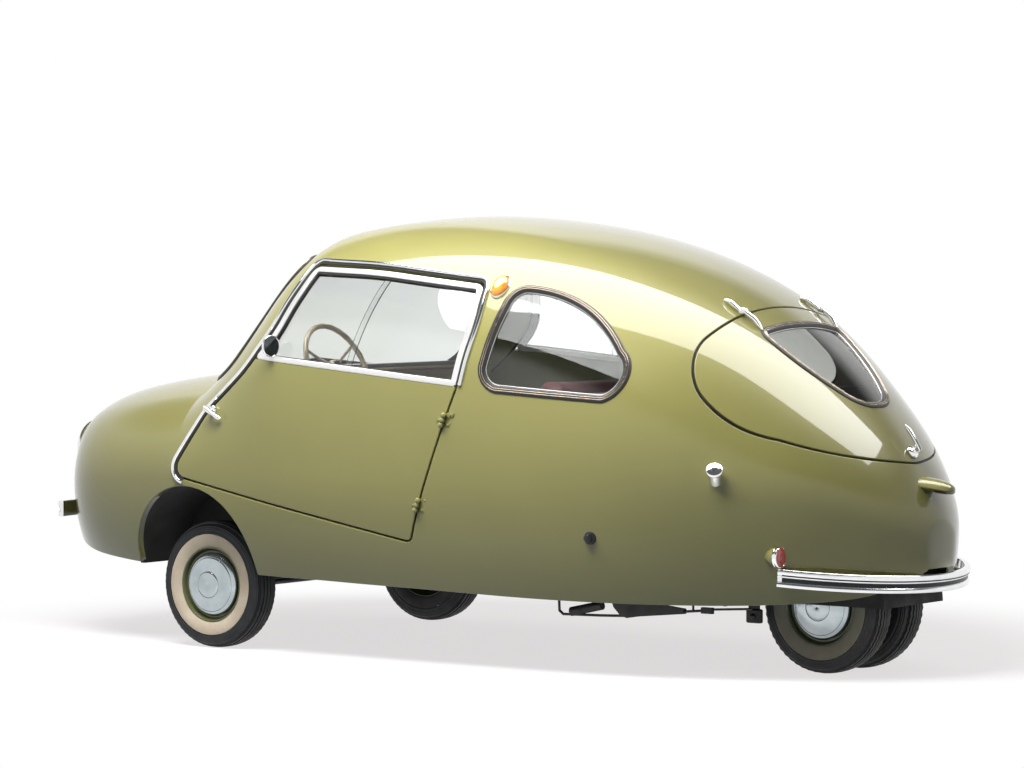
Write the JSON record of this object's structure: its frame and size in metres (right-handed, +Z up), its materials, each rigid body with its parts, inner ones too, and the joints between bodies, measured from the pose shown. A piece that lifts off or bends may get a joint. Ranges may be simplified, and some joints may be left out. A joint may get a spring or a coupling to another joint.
{
  "type": "three wheeled microcar",
  "caption": "Egg-shaped closed microcar with steered front wheels, a close rear wheel pair, rear-hinged side doors and a top-hinged tail lid with a window.",
  "frame": {"origin": "on the ground under the middle of the car's outer box", "axes": "+X to the front, +Y to the left side, +Z up"},
  "size_m": [3.126, 1.4899, 1.3562],
  "materials": {
    "paint": "gloss olive green paint",
    "chrome": "polished",
    "aluminium": "bright",
    "glass": "clear",
    "rubber": "matt black",
    "tyre": "black with a cream sidewall band",
    "wheel_paint": "gloss olive green with a polished hubcap",
    "black_steel": "satin black",
    "amber_lens": "amber",
    "red_lens": "red",
    "ivory": "ivory",
    "seat_cloth": "dark red vinyl",
    "cast_alloy": "cast",
    "black_plastic": "gloss black",
    "headlamp": "chrome rim and clear lens"
  },
  "bodies": {
    "car_body": {"nose_body": "paint", "cabin_body": "paint", "tail_body": "paint", "fixed_windows": "glass", "window_seals": "rubber", "drip_rails": "chrome", "front_bumper": "chrome", "rear_bumper": "chrome", "headlamps": "headlamp", "turn_lamps": "amber_lens", "tail_lamps": "red_lens", "plate_lamp": "paint", "fuel_cap": "chrome", "side_plug": "black_plastic", "wheel_housings": "black_steel", "floor_pan": "black_steel", "chassis_frame": "black_steel", "front_axle": "black_steel", "rear_swing_arm": "black_steel", "exhaust": "black_steel", "brake_linkage": "black_steel", "engine_block": "cast_alloy", "dashboard": "paint", "steering_column": "black_steel", "seat_cushion": "seat_cloth", "seat_back": "seat_cloth", "rear_shelf": "black_steel", "door_hinges": "paint", "lid_hinges": "chrome"},
    "left_door": {"door_left": "paint", "door_window_frame_left": "aluminium", "door_glass_left": "glass", "door_handle_left": "chrome", "door_mirror": "chrome"},
    "right_door": {"door_right": "paint", "door_window_frame_right": "aluminium", "door_glass_right": "glass", "door_handle_right": "chrome"},
    "tail_lid": {"rear_lid": "paint", "rear_window": "glass", "rear_window_seal": "rubber", "lid_hardware": "chrome"},
    "steering_hand_wheel": {"steering_wheel": "ivory"},
    "left_knuckle": {"knuckle_left": "black_steel"},
    "right_knuckle": {"knuckle_right": "black_steel"},
    "track_rod": {"tie_rod": "black_steel"},
    "left_front_wheel": {"front_tyre_left": "tyre", "front_wheel_left": "wheel_paint"},
    "right_front_wheel": {"front_tyre_right": "tyre", "front_wheel_right": "wheel_paint"},
    "rear_wheel_pair": {"rear_tyres": "tyre", "rear_wheels": "wheel_paint"}
  },
  "joints": [
    {"name": "left_door_swing", "type": "hinge", "parent": "car_body", "child": "left_door", "pos_m": [-0.19199, 0.73, 0.62], "axis": [-0.3489, 0, 0.9371], "range_deg": [0, 65]},
    {"name": "right_door_swing", "type": "hinge", "parent": "car_body", "child": "right_door", "pos_m": [-0.19199, -0.73, 0.62], "axis": [0.3489, 0, -0.9371], "range_deg": [0, 65]},
    {"name": "tail_lid_lift", "type": "hinge", "parent": "car_body", "child": "tail_lid", "pos_m": [-0.973, 0, 1.072], "axis": [0, 1, 0], "range_deg": [0, 70]},
    {"name": "steer_left", "type": "hinge", "parent": "car_body", "child": "left_knuckle", "pos_m": [0.765, 0.478, 0.2], "axis": [0, 0, 1], "range_deg": [-28, 28]},
    {"name": "steer_right", "type": "hinge", "parent": "car_body", "child": "right_knuckle", "pos_m": [0.765, -0.478, 0.2], "axis": [0, 0, 1], "range_deg": [-28, 28]},
    {"name": "track_rod_eye", "type": "hinge", "parent": "left_knuckle", "child": "track_rod", "pos_m": [0.645, 0.478, 0.2028], "axis": [0, 0, 1], "range_deg": [-28, 28]},
    {"name": "steering_wheel_turn", "type": "hinge", "parent": "car_body", "child": "steering_hand_wheel", "pos_m": [0.495, 0.3, 0.882], "axis": [-0.9063, 0, 0.4226], "range_deg": [-300, 300]},
    {"name": "left_front_roll", "type": "hinge", "parent": "left_knuckle", "child": "left_front_wheel", "pos_m": [0.765, 0.555, 0.2], "axis": [0, 1, 0], "continuous": true},
    {"name": "right_front_roll", "type": "hinge", "parent": "right_knuckle", "child": "right_front_wheel", "pos_m": [0.765, -0.555, 0.2], "axis": [0, 1, 0], "continuous": true},
    {"name": "rear_roll", "type": "hinge", "parent": "car_body", "child": "rear_wheel_pair", "pos_m": [-1.19, 0, 0.2], "axis": [0, 1, 0], "continuous": true}
  ],
  "couplings": [
    {"joint": "steer_right", "follows": "steer_left", "ratio": 1},
    {"joint": "track_rod_eye", "follows": "steer_left", "ratio": -1},
    {"joint": "steering_wheel_turn", "follows": "steer_left", "ratio": 10}
  ]
}
